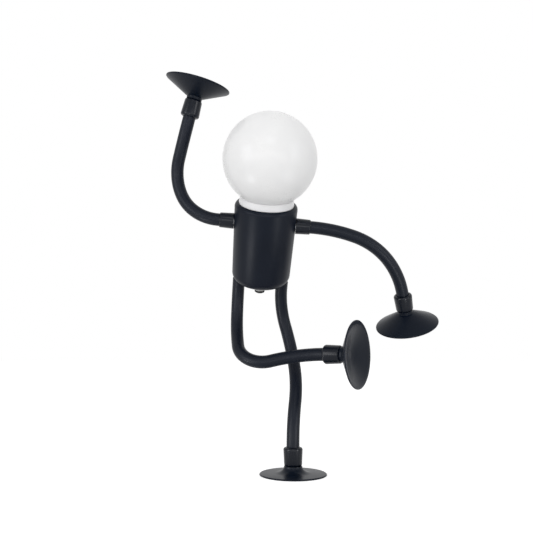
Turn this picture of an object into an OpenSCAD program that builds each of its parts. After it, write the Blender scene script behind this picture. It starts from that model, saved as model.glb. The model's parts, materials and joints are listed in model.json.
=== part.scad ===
// Desk lamp in the form of a stick figure: a cup-shaped torso holds a globe lamp as the head,
// and four gooseneck limbs end in suction cups. Millimetres, +Z up, front towards -Y.
// The origin is the centre of the face that the figure's right-hand foot stands on.
// Left and right are as seen from the front, in the direction of +Y.

/* [Limbs] */
// Diameter of the wound steel core inside every limb
core_d = 7.8; // [7.4:0.1:8.2]
// Wall of the rubber sleeve over the core
sleeve_wall = 1.55; // [1:0.05:2]
// Length of an arm between its two collars
arm_l = 113; // [100:0.5:120]
// Length of a leg from the torso's floor to its end collar
leg_l = 148.5; // [136:0.5:160]
// Diameter of the ball on which one link of a core turns in the next
ball_d = 6; // [5.4:0.1:6.4]
// Diameter of the neck behind each ball
ball_neck_d = 3.6; // [3:0.1:3.8]
// Largest angle by which one link turns on the next, in degrees
link_swing = 24; // [10:1:26]

/* [Limb ends] */
// Length of the collar that joins a sleeve to its suction cup
end_collar_l = 15.5; // [14:0.5:20]
// Outside diameter of that collar at the sleeve
end_collar_d = 16.5; // [15.2:0.1:18]
// Outside diameter of that collar at the cup
end_collar_tip_d = 15; // [14.2:0.1:16]
// Rounding of the collar's edges
collar_round = 2; // [0.5:0.1:2.2]
// Length of the stem by which a suction cup sits in its collar
cup_stem_l = 8; // [6:0.5:9]
// Diameter of a suction cup at its brim
cup_d = 56.5; // [50:0.5:60]
// Height of a free suction cup, from its collar to its brim
cup_h = 14.5; // [11:0.5:16]
// Height of the cup that is pressed flat under the standing foot
pressed_cup_h = 7; // [6:0.5:9]
// Diameter of a free cup's neck just below the collar
cup_neck_d = 13.4; // [12.5:0.1:15]
// Diameter of the pressed cup's hub just below the collar
hub_d = 15.4; // [14:0.1:16.4]
// Diameter at which that hub runs out into the brim
hub_foot_d = 33; // [28:0.5:40]
// Thickness of the rubber at a cup's brim
brim_t = 1.2; // [0.8:0.1:1.6]
// Width of the flat lip round a cup's sole
lip_w = 1.5; // [1:0.1:3]
// Depth of the hollow sole as a share of a free cup's height
sole_share = 0.52; // [0.3:0.01:0.55]
// Depth of the hollow sole as a share of the pressed cup's height
pressed_sole_share = 0.2; // [0.1:0.01:0.3]

/* [Torso] */
// Height of the torso shell
torso_h = 74.5; // [73:0.5:85]
// Outside diameter of the shell at its rim
torso_top_d = 54.5; // [53:0.5:58]
// Outside diameter of the shell at its floor
torso_bottom_d = 51.5; // [50:0.5:53]
// Sheet thickness of the shell
torso_wall = 1.4; // [1:0.1:1.8]
// Rounding between the shell's side and its floor
floor_round = 9; // [7.5:0.5:10]
// Rounding of the shell's rolled rim
rim_round = 4.2; // [2:0.1:4.4]
// Depth of the turned-in lip at the rim
rim_lip_t = 2.6; // [1.2:0.1:3]
// Diameter of the opening inside the rim
opening_d = 48.4; // [47.4:0.1:49]
// Height of the shoulders above the torso's floor
shoulder_z = 55.5; // [50:0.5:60]
// Distance of each hip from the torso's axis
hip_x = 19.5; // [19:0.1:20]
// Distance of each hip's pivot below the torso's floor
hip_drop = 4.8; // [4:0.1:6]
// Length of a shoulder collar, from the shell to the shoulder's pivot
shoulder_collar_l = 14; // [12:0.5:16]
// Outside diameter of a shoulder collar at the shell
shoulder_collar_d = 13.8; // [12.6:0.1:15]
// Outside diameter of a shoulder collar at its outer end
shoulder_tip_d = 12.9; // [12:0.1:14]
// Rounding of that end
shoulder_round = 0.9; // [0.3:0.1:1.2]

/* [Fixings] */
// Thread diameter of the stud at the root of each limb
stud_d = 6; // [5:0.1:6.4]
// Length of thread on that stud
stud_thread_l = 6; // [5.6:0.1:6.4]
// Width across the flats of the nut on a shoulder stud
stud_nut_af = 10; // [9:0.1:10.5]
// Thickness of that nut
stud_nut_t = 3.4; // [2.5:0.1:3.5]
// Thread diameter of the screws that hold the socket
socket_screw_d = 3; // [2.5:0.1:3.2]
// Depth to which those screws enter the block
socket_screw_grip = 5; // [3.5:0.5:6]
// Distance between the two socket screws
socket_screw_pitch = 20; // [19.6:0.1:20.4]

/* [Lamp holder] */
// Outside diameter of the lamp holder
socket_d = 39; // [36:0.5:39.5]
// Wall of the threaded shell in the holder
thread_shell_t = 0.7; // [0.5:0.1:1]
// Thickness of the centre contact spring
contact_t = 0.8; // [0.5:0.1:1.2]
// Length of the centre contact spring
contact_l = 16; // [12:0.5:20]
// Width of the centre contact spring
contact_w = 6; // [4:0.5:8]

/* [Globe lamp] */
// Diameter of the globe
globe_d = 79; // [70:1:90]
// Wall of the globe
globe_wall = 1.2; // [0.8:0.1:2]
// Diameter of the lamp's neck where it meets the globe
bulb_neck_d = 45.8; // [42:0.2:46]
// Height of the neck's upper edge above the torso's rim
bulb_neck_show = 5.8; // [3.5:0.1:8]
// Distance from the neck's upper edge down to the ring that fills the torso's mouth
bulb_ring_drop = 6; // [3:0.1:8]
// Length of the lamp's housing, from its cap to the globe
housing_l = 33; // [31:0.5:34]
// Wall of the housing
housing_wall = 1.5; // [1.2:0.1:1.8]
// Outside diameter of the screw cap
screw_cap_d = 26.4; // [26:0.1:27]
// Length of the screw cap
screw_cap_l = 22.5; // [21:0.1:23]
// Thickness of the plate that carries the light-emitting diodes
led_plate_t = 1.5; // [1:0.1:2]
// Number of light-emitting diodes on the plate
led_count = 12; // [6:1:16]
// Height of the board that drives them
driver_board_h = 40; // [30:1:44]

/* [Switch and cord] */
// Diameter of the switch's push-button
button_d = 9.2; // [8:0.1:10.2]
// How far the button stands out below the torso
button_reach = 11.8; // [9:0.1:14]
// Radius of the button's domed end
button_dome = 7; // [5.5:0.5:12]
// Travel of the button
button_travel = 2.5; // [1:0.1:3]
// Outside diameter of the switch's threaded neck
switch_neck_d = 12; // [11.8:0.1:12.4]
// Outside diameter of the switch's body
switch_body_d = 14; // [13.4:0.1:15]
// Height of the switch's body above the torso's floor
switch_body_h = 12; // [10:0.5:13]
// Thickness of the switch's nut across its hexagon
switch_nut_t = 3.7; // [3:0.1:4]
// Length of the round collar on that nut, which guides the button
switch_collar_l = 3.9; // [2:0.1:4.5]
// Bore of the grommet that the cord enters through
cord_bore_d = 6.2; // [5:0.1:7]
// Diameter of the grommet's flanges
grommet_d = 12; // [11:0.5:13]
// Height of the grommet above the torso's floor
cord_z = 30; // [27:0.5:38]

/* [Hidden] */
$fn = 72;

// Clearances
fit = 0.05;          // between pieces that seat on each other
slide = 0.08;        // round a piece that slides or turns
seam = 0.3;          // between faces that stay apart
over = 1;            // how far a cut runs past the face it opens

// The pose at rest: [share of the limb, bend, roll] of each link, in degrees. A link bends
// towards its roll angle. Each limb is drawn from its root outwards, except the leg that the
// figure stands on, which is drawn from the foot upwards.
arm_left_pose = [[1 / 3, 56, 48], [1 / 3, 60.5, -1.5], [1 / 3, 17, 130.5]];
arm_right_pose = [[1 / 3, 14.5, -10], [1 / 3, 32.5, 5], [1 / 3, 27.5, -12]];
leg_left_pose = [[0.195, 45.5, 85], [0.22, 31, 74.5], [0.265, 96.5, 3.5], [0.32, 37.5, 156]];
leg_right_pose = [[0.25, 27, 74.5], [0.25, 15, 152.5], [0.25, 36.5, -109.5], [0.25, 34.5, -65.5]];
torso_turn = -14;    // of the torso on the standing leg's hip

sleeve_colour = [0.13, 0.14, 0.16];
core_colour = [0.62, 0.63, 0.65];

// Limb sections
core_r = core_d / 2;
bore_r = core_r + fit;                                   // inside of a sleeve
sleeve_r = bore_r + sleeve_wall;                         // outside of a sleeve
joint_gap = 2 * sleeve_r * tan(link_swing / 2) + seam;   // between two sleeves at a pivot
seat_back = 0.2;                                         // from a pivot back to a seat's rim
neck_l = core_r * tan(link_swing) + seat_back;           // from a ball's centre to its core
sleeve_seat = end_collar_l - cup_stem_l - 1;             // length of sleeve inside a collar
tail_l = end_collar_l - cup_stem_l / 2;                  // length of core inside a collar

// Limb ends
neck_share = 0.16;       // length of a free cup's neck as a share of its height
neck_flare = 1.5;        // where that neck opens into the cone
hub_step = 15;           // between two points of the pressed cup's hub, in degrees

// Torso, up from its floor
taper = (torso_top_d - torso_bottom_d) / 2 / torso_h;
slant = sqrt(1 + taper * taper);
function torso_r(z) = torso_bottom_d / 2 + taper * z;    // outside of the shell at height z
function arc_x(z, r) = torso_r(z) - r * slant;           // centre of an arc that rounds it
block_z = floor_round + 0.2;                             // underside of the leg block's plate
block_top = block_z + stud_thread_l + 0.4;
shoulder_r = torso_r(shoulder_z);
grommet_neck_r = cord_bore_d / 2 + 1.2;
grommet_flange_t = 1.4;

// Lamp, down from the neck's upper edge
bulb_neck_z = torso_h + bulb_neck_show;
bulb_neck_r = bulb_neck_d / 2;
globe_z = bulb_neck_z + sqrt(pow(globe_d / 2, 2) - pow(bulb_neck_r, 2));
cap_r = screw_cap_d / 2;
cap_top_z = bulb_neck_z - housing_l;
cap_z = cap_top_z - screw_cap_l;
cap_wall = 0.4;
cap_mouth_r = 8;                                         // hole in the cap's end
insulator_h = 2.4;
insulator_shoulder = 2;                                  // cap's edge left free round it
insulator_tip_r = 5;                                     // its lower end
insulator_plug_h = 2;
tip_t = 0.7;
tip_r = 4.4;
tip_pin_r = 1;
tip_z = cap_z - insulator_h - tip_t;
spigot_r = cap_r - cap_wall - fit;                       // of the housing, inside the cap
spigot_l = 7;
spigot_bore_r = spigot_r - 1.35;
housing_foot_r = cap_r + 1.4;
bulb_ring_r = opening_d / 2 - seam;
plate_ledge = 0.8;                                       // that the plate lies on
led_recess = 3;                                          // plate's underside below the neck's edge
driver_board_t = 1.6;

// Lamp holder
socket_floor_z = tip_z - fit - contact_t;
socket_top_z = cap_top_z - 1.8;
thread_shell_r = cap_r + 0.2 + thread_shell_t;           // outside of the threaded shell
screw_head_r = 0.9 * socket_screw_d;
screw_head_t = 0.6 * socket_screw_d;
screw_seat_z = socket_floor_z - screw_head_t - 0.2;

// Switch
button_r = button_d / 2;
button_flange_r = button_r + 1;
dome_z = button_dome - button_reach;                     // centre of the button's domed end
dome_edge_z = dome_z - sqrt(pow(button_dome, 2) - pow(button_r, 2));
switch_collar_r = button_r + 0.8;
switch_cone_h = 0.8;                                     // from the nut's hexagon to its collar
switch_neck_l = switch_nut_t - 0.4;                      // of the body's threaded neck
button_flange_t = 1.6;
button_stop_z = torso_wall + 1.2;                        // ledge that keeps the button in

// ---- paths -------------------------------------------------------------------------------

// Moves the children past one bent link of length l
module past(l, link) {
    bend = link[1];
    radius = l * 180 / (PI * bend);
    rotate([0, 0, link[2]])
        translate([radius * (1 - cos(bend)), 0, radius * sin(bend)])
            rotate([0, bend, 0]) rotate([0, 0, -link[2]]) children();
}

// Moves the children past the first n links of a limb of length l
module past_links(l, pose, n, i = 0) {
    if (i >= n) children();
    else past(l * pose[i][0], pose[i]) past_links(l, pose, n, i + 1) children();
}

// A round bar of radius r that follows a bent link of length l, from a to b along it, with a
// bore of the given radius where that is more than 0
module bent_bar(l, link, a, b, r, bore = 0) {
    radius = l * 180 / (PI * link[1]);
    per_mm = link[1] / l;
    rotate([0, 0, link[2]]) translate([radius, 0, 0]) rotate([90, 0, 180])
        rotate([0, 0, a * per_mm]) rotate_extrude(angle = (b - a) * per_mm)
            translate([radius, 0]) difference() {
                circle(r = r);
                if (bore > 0) circle(r = bore);
            }
}

// Frame of the standing leg's lower end, on its collar
module at_foot() { translate([0, 0, pressed_cup_h + end_collar_l]) children(); }

// Frame of the torso: its axis along +Z, its floor at z = 0
module at_torso() {
    at_foot() past_links(leg_l, leg_right_pose, len(leg_right_pose))
        translate([0, 0, hip_drop]) rotate([0, 0, torso_turn]) translate([-hip_x, 0, 0]) children();
}

// Frames at the pivots that carry the limbs, with +Z out along the limb
module shoulder(side) {
    translate([side * (shoulder_r + shoulder_collar_l), 0, shoulder_z]) rotate([0, side * 90, 0])
        children();
}
module hip(side) { translate([side * hip_x, 0, -hip_drop]) rotate([180, 0, 0]) children(); }
module at_arm_left() { at_torso() shoulder(-1) children(); }
module at_arm_right() { at_torso() shoulder(1) children(); }
module at_leg_left() { at_torso() hip(-1) children(); }

// ---- limbs -------------------------------------------------------------------------------

// Length of link i of a limb of length l
function link_l(l, pose, i) = l * pose[i][0];

// The rubber sleeve on link i, between two pivots
module sleeve(l, pose, i) {
    length = link_l(l, pose, i);
    color(sleeve_colour) past_links(l, pose, i)
        bent_bar(length, pose[i], joint_gap / 2, length - joint_gap / 2, sleeve_r, bore_r);
}

// The sleeve on the last link, drawn inwards from the end collar's face at z = 0
module end_sleeve(l, pose, i) {
    length = link_l(l, pose, i);
    color(sleeve_colour) mirror([0, 0, 1])
        bent_bar(length, pose[i], 0, length - joint_gap / 2, sleeve_r, bore_r);
    color(sleeve_colour) rotate([0, 0, pose[i][2] + 180]) difference() {
        cylinder(r = sleeve_r, h = sleeve_seat);
        translate([0, 0, -over]) cylinder(r = bore_r, h = sleeve_seat + 2 * over);
    }
}

// What a core carries at a pivot: a ball on its neck
module core_ball() {
    sphere(d = ball_d);
    cylinder(d = ball_neck_d, h = neck_l + fit);
}

// What takes that ball: a seat in the end of the next core
module ball_seat() { sphere(r = ball_d / 2 + fit); }

// The wound steel core of link i, with its ball at the start, or else at the end
module core(l, pose, i, ball_first = true) {
    length = link_l(l, pose, i);
    start = ball_first ? neck_l : seat_back;
    stop = ball_first ? seat_back : neck_l;
    color(core_colour) past_links(l, pose, i) difference() {
        union() {
            bent_bar(length, pose[i], start, length - stop, core_r);
            if (ball_first) core_ball();
            else past(length, pose[i]) mirror([0, 0, 1]) core_ball();
        }
        if (ball_first) past(length, pose[i]) ball_seat();
        else ball_seat();
    }
}

// The core of the last link, drawn inwards from the end collar's face at z = 0, with a straight
// tail that reaches into the cup's stem
module end_core(l, pose, i) {
    length = link_l(l, pose, i);
    color(core_colour) {
        mirror([0, 0, 1]) {
            bent_bar(length, pose[i], 0, length - neck_l, core_r);
            past(length, pose[i]) mirror([0, 0, 1]) core_ball();
        }
        rotate([0, 0, pose[i][2] + 180]) cylinder(r = core_r, h = tail_l);
    }
}

// A collar from the sleeve's end, at z = 0, to the cup
module end_collar() {
    low = [end_collar_d / 2 - collar_round, collar_round];
    high = [end_collar_tip_d / 2 - collar_round, end_collar_l - collar_round];
    color([0.12, 0.13, 0.15]) rotate_extrude() difference() {
        union() {
            polygon([
                [0, 0], [low[0], 0], [end_collar_d / 2, low[1]], [end_collar_tip_d / 2, high[1]],
                [high[0], end_collar_l], [0, end_collar_l]
            ]);
            translate(low) circle(r = collar_round);
            translate(high) circle(r = collar_round);
        }
        translate([-end_collar_d, -over])
            square([end_collar_d + sleeve_r + fit, end_collar_l + 2 * over]);
    }
}

// Half section of a cup's stem, from its axis out to the collar's bore
function stem_outline() = [
    [0, tail_l - end_collar_l + fit], [bore_r, tail_l - end_collar_l + fit],
    [bore_r, -cup_stem_l], [sleeve_r, -cup_stem_l], [sleeve_r, 0]
];

// Half section of a cup's brim and hollow sole, from its edge in to its axis
function sole_outline(h, hollow) = [
    [cup_d / 2, h - 0.6 * brim_t], [cup_d / 2, h], [cup_d / 2 - lip_w, h],
    [cup_d / 2 - 2 * lip_w, h - 0.3 * brim_t], [cup_neck_d / 2, h - 0.9 * hollow],
    [cup_neck_d / 4, h - hollow], [0, h - hollow]
];

// A suction cup that hangs free below its collar, whose sleeve end is at z = 0
module suction_cup() {
    neck_r = cup_neck_d / 2;
    neck_h = neck_share * cup_h;
    color([0.1, 0.11, 0.12]) translate([0, 0, end_collar_l]) rotate_extrude() polygon(concat(
        stem_outline(),
        [
            [neck_r, 0], [neck_r, neck_h], [neck_r + neck_flare, neck_h + neck_flare / 3],
            [cup_d / 2 - brim_t / 3, cup_h - 1.1 * brim_t]
        ],
        sole_outline(cup_h, sole_share * cup_h)
    ));
}

// The cup that the figure's weight presses flat: its hub runs out into a thin brim
module pressed_cup() {
    hub_w = (hub_foot_d - hub_d) / 2;
    brim_z = pressed_cup_h - brim_t;
    color([0.1, 0.11, 0.12]) translate([0, 0, end_collar_l]) rotate_extrude() polygon(concat(
        stem_outline(),
        [for (a = [0:hub_step:90]) [hub_d / 2 + hub_w * (1 - cos(a)), (brim_z - seam) * sin(a)]],
        [[cup_d / 2 - brim_t / 3, brim_z]],
        sole_outline(pressed_cup_h, pressed_sole_share * pressed_cup_h)
    ));
}

// ---- torso -------------------------------------------------------------------------------

// Half section of the torso's outside, grown by g
module torso_outline(g = 0) {
    low = [arc_x(floor_round, floor_round), floor_round];
    high = [arc_x(torso_h - rim_round, rim_round), torso_h - rim_round];
    polygon([
        [0, -g], [low[0], -g], [torso_r(low[1]) + g, low[1]], [torso_r(high[1]) + g, high[1]],
        [high[0], torso_h + g], [0, torso_h + g]
    ]);
    translate(low) circle(r = floor_round + g);
    translate(high) circle(r = rim_round + g);
}

// Half section of the space inside the shell, open at the rim
module torso_inside() {
    low = [arc_x(floor_round, floor_round), floor_round];
    high = [arc_x(torso_h - rim_round, rim_round), torso_h - rim_round];
    top = torso_h - rim_lip_t;
    bevel = (rim_round - torso_wall) * sqrt(1 / 2);
    polygon([
        [0, torso_wall], [low[0], torso_wall], [torso_r(low[1]) - torso_wall, low[1]],
        [torso_r(high[1]) - torso_wall, min(high[1], top)],
        [high[0] + bevel, min(high[1] + bevel, top)], [high[0] + bevel, top], [0, top]
    ]);
    translate(low) circle(r = floor_round - torso_wall);
    square_to(opening_d / 2, top, torso_h + over);
}

// Half section of a round bar of radius r, from z = a to z = b
module square_to(r, a, b) { translate([0, a]) square([r, b - a]); }

// A round bar of radius r on the Z axis, from z = a to z = b
module bar(r, a, b) { translate([0, 0, a]) cylinder(r = r, h = b - a); }

// A hexagonal bar of width af across its flats, from z = a to z = b
module hex_bar(af, a, b) {
    translate([0, 0, a]) cylinder(r = af / sqrt(3), h = b - a, $fn = 6);
}

module torso_solid(g = 0) { rotate_extrude() torso_outline(g); }

// Cord frame: +Z out through the back of the shell
module cord_hole() { translate([0, 0, cord_z]) rotate([-90, 0, 0]) children(); }

module torso_shell() {
    color([0.13, 0.14, 0.16]) at_torso() difference() {
        rotate_extrude() difference() {
            torso_outline();
            torso_inside();
        }
        for (side = [-1, 1]) {
            translate([side * hip_x, 0, 0]) bar(sleeve_r + fit, -over, block_z);
            translate([0, 0, shoulder_z]) rotate([0, side * 90, 0])
                bar(stud_d / 2 + slide, 0, torso_top_d);
        }
        bar(switch_neck_d / 2 + slide, -over, torso_wall + over);
        cord_hole() bar(grommet_neck_r + fit, 0, torso_top_d);
    }
}

// The cast block on the shell's floor, which the legs' studs screw into
module leg_block() {
    boss_r = hip_x - sleeve_r - seam;
    color([0.7, 0.71, 0.72]) at_torso() difference() {
        union() {
            bar(boss_r, torso_wall, block_z);
            bar(torso_r(block_z) - torso_wall - seam, block_z, block_top);
        }
        bar(switch_body_d / 2 + slide, 0, block_top + over);
        for (side = [-1, 1]) {
            translate([side * hip_x, 0, 0]) bar(stud_d / 2 + fit, 0, block_top + over);
            translate([0, side * socket_screw_pitch / 2, 0])
                bar(socket_screw_d / 2 + fit, block_top - socket_screw_grip - fit, block_top + over);
        }
    }
}

// A stud with its pivot at z = 0: a smooth part of length l, then its thread
module limb_stud(l) {
    mirror([0, 0, 1]) difference() {
        union() {
            bar(core_r, seat_back, l);
            bar(stud_d / 2, l - fit, l + stud_thread_l);
        }
        ball_seat();
    }
}

module limb_studs() {
    color([0.66, 0.67, 0.69]) at_torso() for (side = [-1, 1]) {
        shoulder(side) limb_stud(shoulder_collar_l);
        hip(side) limb_stud(hip_drop + block_z);
    }
}

module shoulder_nuts() {
    back = sqrt(pow(shoulder_r - torso_wall, 2) - pow(stud_nut_af / sqrt(3), 2)) - fit;
    color([0.75, 0.76, 0.78]) at_torso() for (side = [-1, 1])
        translate([0, 0, shoulder_z]) rotate([0, side * 90, 0]) difference() {
            hex_bar(stud_nut_af, back - stud_nut_t, back);
            bar(stud_d / 2 + fit, 0, torso_top_d);
        }
}

// The collar round an arm's stud, from the shell to the shoulder's pivot
module shoulder_collar(side) {
    end = shoulder_r + shoulder_collar_l - joint_gap / 2;
    color([0.12, 0.13, 0.15]) at_torso() difference() {
        translate([0, 0, shoulder_z]) rotate([0, side * 90, 0]) difference() {
            rotate_extrude() {
                polygon([
                    [0, shoulder_r / 2], [shoulder_collar_d / 2, shoulder_r / 2],
                    [shoulder_collar_d / 2, shoulder_r - seam],
                    [shoulder_tip_d / 2, end - shoulder_round],
                    [shoulder_tip_d / 2 - shoulder_round, end], [0, end]
                ]);
                translate([shoulder_tip_d / 2 - shoulder_round, end - shoulder_round])
                    circle(r = shoulder_round);
            }
            bar(core_r + fit, 0, torso_top_d);
        }
        torso_solid(fit);
    }
}

// The short tube by which a leg's sleeve meets the torso
module hip_ferrule(side) {
    color([0.13, 0.14, 0.16]) at_torso() translate([side * hip_x, 0, 0]) difference() {
        bar(sleeve_r, joint_gap / 2 - hip_drop, block_z);
        bar(core_r + fit, -hip_drop, block_z + over);
    }
}

module cord_grommet() {
    inside = sqrt(pow(torso_r(cord_z) - torso_wall, 2) - pow(grommet_d / 2, 2)) - fit;
    outside = torso_r(cord_z) + 1.8;
    color([0.1, 0.1, 0.11]) at_torso() difference() {
        union() {
            difference() {
                cord_hole() bar(grommet_d / 2, torso_r(cord_z) / 2, outside);
                torso_solid(fit);
            }
            cord_hole() bar(grommet_neck_r, inside - fit, outside - fit);
            cord_hole() bar(grommet_d / 2, inside - grommet_flange_t, inside);
        }
        cord_hole() bar(cord_bore_d / 2, 0, torso_top_d);
    }
}

// ---- lamp holder -------------------------------------------------------------------------

module at_socket_screws() {
    for (side = [-1, 1]) translate([0, side * socket_screw_pitch / 2, 0]) children();
}

module socket_body() {
    color([0.9, 0.89, 0.86]) at_torso() difference() {
        bar(socket_d / 2, block_top, socket_top_z);
        bar(thread_shell_r + fit, socket_floor_z, socket_top_z + over);
        at_socket_screws() {
            bar(socket_screw_d / 2 + fit, 0, socket_top_z);
            bar(screw_head_r + slide, screw_seat_z, socket_top_z);
        }
    }
}

module socket_thread_shell() {
    color([0.78, 0.66, 0.36]) at_torso() difference() {
        bar(thread_shell_r, socket_floor_z + contact_t + seam, socket_top_z - 0.5);
        bar(thread_shell_r - thread_shell_t, 0, socket_top_z);
    }
}

module socket_contact() {
    color([0.8, 0.68, 0.4]) at_torso() translate([-contact_l / 2, -contact_w / 2, socket_floor_z])
        cube([contact_l, contact_w, contact_t]);
}

module socket_screws() {
    color([0.75, 0.76, 0.78]) at_torso() at_socket_screws() {
        bar(socket_screw_d / 2, block_top - socket_screw_grip, screw_seat_z + fit);
        bar(screw_head_r, screw_seat_z, screw_seat_z + screw_head_t);
    }
}

// ---- switch ------------------------------------------------------------------------------

module switch_body() {
    color([0.08, 0.08, 0.09]) at_torso() difference() {
        union() {
            bar(switch_neck_d / 2, -switch_neck_l, torso_wall + fit);
            bar(switch_body_d / 2, torso_wall, torso_wall + switch_body_h);
        }
        bar(button_r + slide, -switch_nut_t - over, button_stop_z + over);
        bar(button_flange_r + slide, button_stop_z, torso_wall + switch_body_h - 2);
    }
}

// The nut that holds the switch: its hexagon, and the round collar that guides the button
module switch_nut() {
    af = switch_neck_d + 3;
    color([0.1, 0.1, 0.11]) at_torso() difference() {
        union() {
            hex_bar(af, -switch_nut_t, 0);
            translate([0, 0, -switch_nut_t - switch_cone_h])
                cylinder(r1 = switch_collar_r, r2 = af / 2, h = switch_cone_h + fit);
            bar(switch_collar_r, -switch_nut_t - switch_collar_l, -switch_nut_t);
        }
        bar(switch_neck_d / 2 + fit, -switch_neck_l - fit, over);
        bar(button_r + slide, -switch_nut_t - switch_collar_l - over, over);
    }
}

// The push-button: a flange inside the body, a round stem and a domed end
module switch_button() {
    color([0.02, 0.02, 0.02]) at_torso() {
        bar(button_flange_r, button_stop_z + fit, button_stop_z + fit + button_flange_t);
        bar(button_r, dome_edge_z, button_stop_z + 2 * fit);
        intersection() {
            bar(button_r, -button_reach - over, dome_edge_z + fit);
            translate([0, 0, dome_z]) sphere(r = button_dome);
        }
    }
}

// ---- globe lamp --------------------------------------------------------------------------

module bulb_globe() {
    color([0.97, 0.97, 0.96]) at_torso() rotate_extrude() difference() {
        translate([0, globe_z]) circle(d = globe_d);
        translate([0, globe_z]) circle(d = globe_d - 2 * globe_wall);
        translate([-globe_d, bulb_neck_z - globe_d]) square([2 * globe_d, globe_d]);
        translate([-globe_d, 0]) square([globe_d, 2 * globe_d + torso_h]);
    }
}

module bulb_housing() {
    plate_z = bulb_neck_z - led_recess;
    inner_r = bulb_neck_r - housing_wall;
    color([0.95, 0.95, 0.95]) at_torso() rotate_extrude() difference() {
        polygon([
            [spigot_bore_r, cap_top_z - spigot_l], [spigot_r, cap_top_z - spigot_l],
            [spigot_r, cap_top_z + fit], [housing_foot_r, cap_top_z + fit],
            [bulb_ring_r, bulb_neck_z - bulb_ring_drop], [bulb_neck_r, bulb_neck_z],
            [inner_r, bulb_neck_z], [inner_r, plate_z], [inner_r - plate_ledge, plate_z],
            [housing_foot_r - housing_wall, cap_top_z + 2], [spigot_bore_r, cap_top_z + 2]
        ]);
    }
}

// The plate under the globe, with its ring of light-emitting diodes
module bulb_led_plate() {
    plate_z = bulb_neck_z - led_recess;
    plate_r = bulb_neck_r - housing_wall - fit;
    led = [2.8, 3.5, 0.7];
    color([0.93, 0.93, 0.9]) at_torso() {
        bar(plate_r, plate_z, plate_z + led_plate_t);
        for (i = [0:led_count - 1]) rotate([0, 0, 360 * i / led_count])
            translate([0.65 * plate_r, 0, plate_z + led_plate_t + led[2] / 2])
                cube(led + [0, 0, fit], center = true);
    }
}

// The board that drives the diodes, standing in the housing's spigot
module bulb_driver_board() {
    w = 2 * spigot_bore_r - 0.5;
    color([0.2, 0.45, 0.25]) at_torso()
        translate([-w / 2, -driver_board_t / 2, cap_z + insulator_plug_h + fit])
            cube([w, driver_board_t, driver_board_h]);
}

module bulb_screw_cap() {
    color([0.8, 0.8, 0.82]) at_torso() difference() {
        bar(cap_r, cap_z, cap_top_z);
        bar(cap_r - cap_wall, cap_z + cap_wall, cap_top_z + over);
        bar(cap_mouth_r, cap_z - over, cap_z + over);
    }
}

module bulb_insulator() {
    color([0.1, 0.1, 0.12]) at_torso() rotate_extrude() polygon([
        [tip_pin_r + fit, tip_z + tip_t], [insulator_tip_r, tip_z + tip_t],
        [cap_r - insulator_shoulder, cap_z], [cap_mouth_r - fit, cap_z],
        [cap_mouth_r - fit, cap_z + insulator_plug_h],
        [tip_pin_r + fit, cap_z + insulator_plug_h]
    ]);
}

module bulb_tip_contact() {
    color([0.75, 0.75, 0.77]) at_torso() {
        bar(tip_r, tip_z, tip_z + tip_t);
        bar(tip_pin_r, tip_z, cap_z + insulator_plug_h);
    }
}

// ---- the limbs' own pieces ---------------------------------------------------------------

// Frames at the outer ends of the limbs' sleeves, with +Z out along the end collar
module arm_left_end() { at_arm_left() past_links(arm_l, arm_left_pose, 3) children(); }
module arm_right_end() { at_arm_right() past_links(arm_l, arm_right_pose, 3) children(); }
module leg_left_end() { at_leg_left() past_links(leg_l, leg_left_pose, 4) children(); }
module leg_right_end() { at_foot() mirror([0, 0, 1]) children(); }

torso_shell();
leg_block();
limb_studs();
shoulder_nuts();
shoulder_collar(-1);  // arm_left_shoulder_collar
shoulder_collar(1);  // arm_right_shoulder_collar
hip_ferrule(-1);  // leg_left_hip_ferrule
hip_ferrule(1);  // leg_right_hip_ferrule
socket_body();
socket_thread_shell();
socket_contact();
socket_screws();
switch_body();
switch_nut();
switch_button();
cord_grommet();
bulb_globe();
bulb_housing();
bulb_led_plate();
bulb_driver_board();
bulb_screw_cap();
bulb_insulator();
bulb_tip_contact();
at_arm_left() sleeve(arm_l, arm_left_pose, 0);  // arm_left_sleeve_1
at_arm_left() sleeve(arm_l, arm_left_pose, 1);  // arm_left_sleeve_2
arm_left_end() end_sleeve(arm_l, arm_left_pose, 2);  // arm_left_sleeve_3
at_arm_left() core(arm_l, arm_left_pose, 0);  // arm_left_core_1
at_arm_left() core(arm_l, arm_left_pose, 1);  // arm_left_core_2
arm_left_end() end_core(arm_l, arm_left_pose, 2);  // arm_left_core_3
arm_left_end() end_collar();  // arm_left_end_collar
arm_left_end() suction_cup();  // arm_left_suction_cup
at_arm_right() sleeve(arm_l, arm_right_pose, 0);  // arm_right_sleeve_1
at_arm_right() sleeve(arm_l, arm_right_pose, 1);  // arm_right_sleeve_2
arm_right_end() end_sleeve(arm_l, arm_right_pose, 2);  // arm_right_sleeve_3
at_arm_right() core(arm_l, arm_right_pose, 0);  // arm_right_core_1
at_arm_right() core(arm_l, arm_right_pose, 1);  // arm_right_core_2
arm_right_end() end_core(arm_l, arm_right_pose, 2);  // arm_right_core_3
arm_right_end() end_collar();  // arm_right_end_collar
arm_right_end() suction_cup();  // arm_right_suction_cup
at_leg_left() sleeve(leg_l, leg_left_pose, 0);  // leg_left_sleeve_1
at_leg_left() sleeve(leg_l, leg_left_pose, 1);  // leg_left_sleeve_2
at_leg_left() sleeve(leg_l, leg_left_pose, 2);  // leg_left_sleeve_3
leg_left_end() end_sleeve(leg_l, leg_left_pose, 3);  // leg_left_sleeve_4
at_leg_left() core(leg_l, leg_left_pose, 0);  // leg_left_core_1
at_leg_left() core(leg_l, leg_left_pose, 1);  // leg_left_core_2
at_leg_left() core(leg_l, leg_left_pose, 2);  // leg_left_core_3
leg_left_end() end_core(leg_l, leg_left_pose, 3);  // leg_left_core_4
leg_left_end() end_collar();  // leg_left_end_collar
leg_left_end() suction_cup();  // leg_left_suction_cup
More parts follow.
